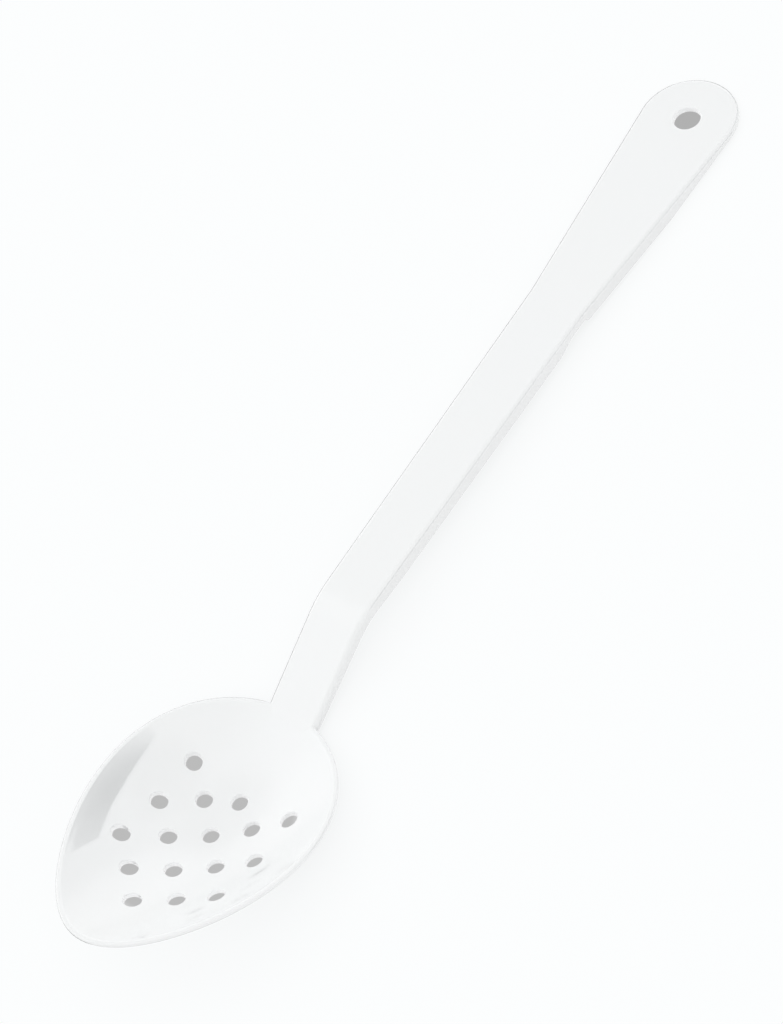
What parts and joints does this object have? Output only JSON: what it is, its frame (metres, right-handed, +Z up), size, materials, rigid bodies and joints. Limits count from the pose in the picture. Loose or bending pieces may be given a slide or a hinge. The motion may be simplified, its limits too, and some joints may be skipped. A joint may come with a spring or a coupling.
{
  "type": "perforated serving spoon",
  "caption": "Moulded white plastic serving spoon with an egg-shaped perforated bowl, a bent channel handle, a pan notch and a hanging hole.",
  "frame": {"origin": "centre of the bounding box's base, on the surface that the spoon lies on: it rests on its bowl and on the handle's round end", "axes": "+X from the bowl's tip to the handle's end, +Y to the left for someone who looks along +X from above, +Z up, out of the bowl"},
  "size_m": [0.3284, 0.0722, 0.0365],
  "materials": {
    "white_plastic": "glossy, smooth moulded"
  },
  "bodies": {
    "root": {"bowl": "white_plastic", "bowl_rim": "white_plastic", "neck_web": "white_plastic", "shank_web": "white_plastic", "grip_web": "white_plastic", "left_flange": "white_plastic", "right_flange": "white_plastic"}
  },
  "joints": []
}
